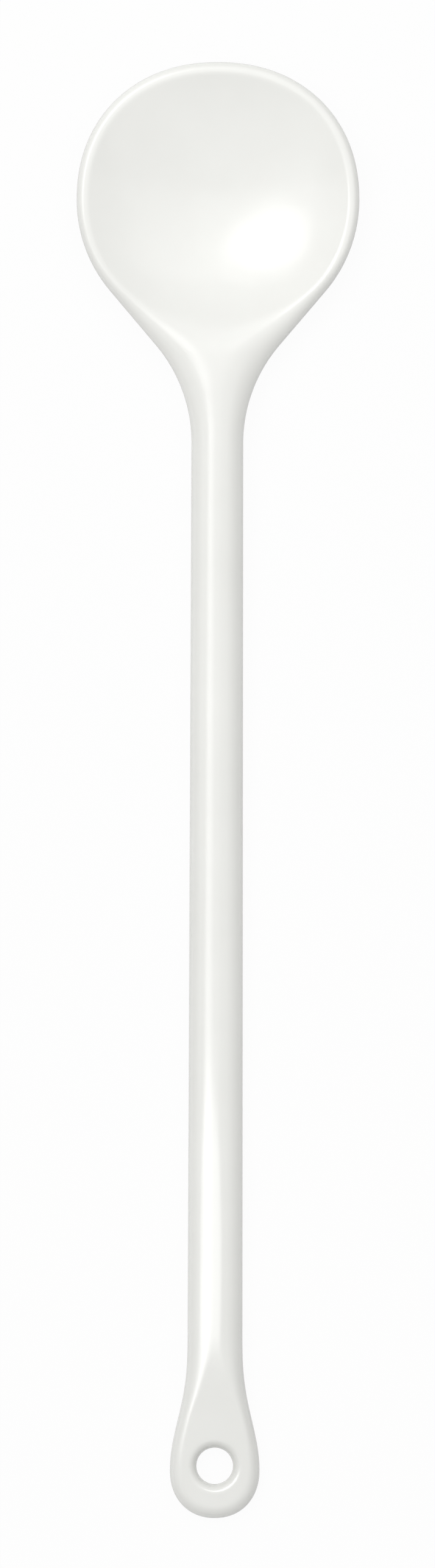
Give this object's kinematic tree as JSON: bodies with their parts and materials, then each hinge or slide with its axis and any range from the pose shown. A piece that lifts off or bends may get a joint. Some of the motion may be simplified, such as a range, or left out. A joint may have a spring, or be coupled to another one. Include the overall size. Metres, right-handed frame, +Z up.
{
  "type": "cooking spoon",
  "caption": "White melamine cooking spoon with a round shallow bowl, a filleted neck, a long oval handle and a flat hanging eye.",
  "frame": {"origin": "on the plane the spoon lies on, at the middle of its length and width", "axes": "+Y along the spoon towards the bowl's tip, +Z up out of the hollow, +X to the right seen from above with the bowl at the top"},
  "size_m": [0.0582, 0.3, 0.0101],
  "materials": {
    "melamine": "glossy off-white moulded melamine"
  },
  "bodies": {
    "root": {"bowl": "melamine", "neck": "melamine", "handle": "melamine", "hanging_eye": "melamine"}
  },
  "joints": []
}
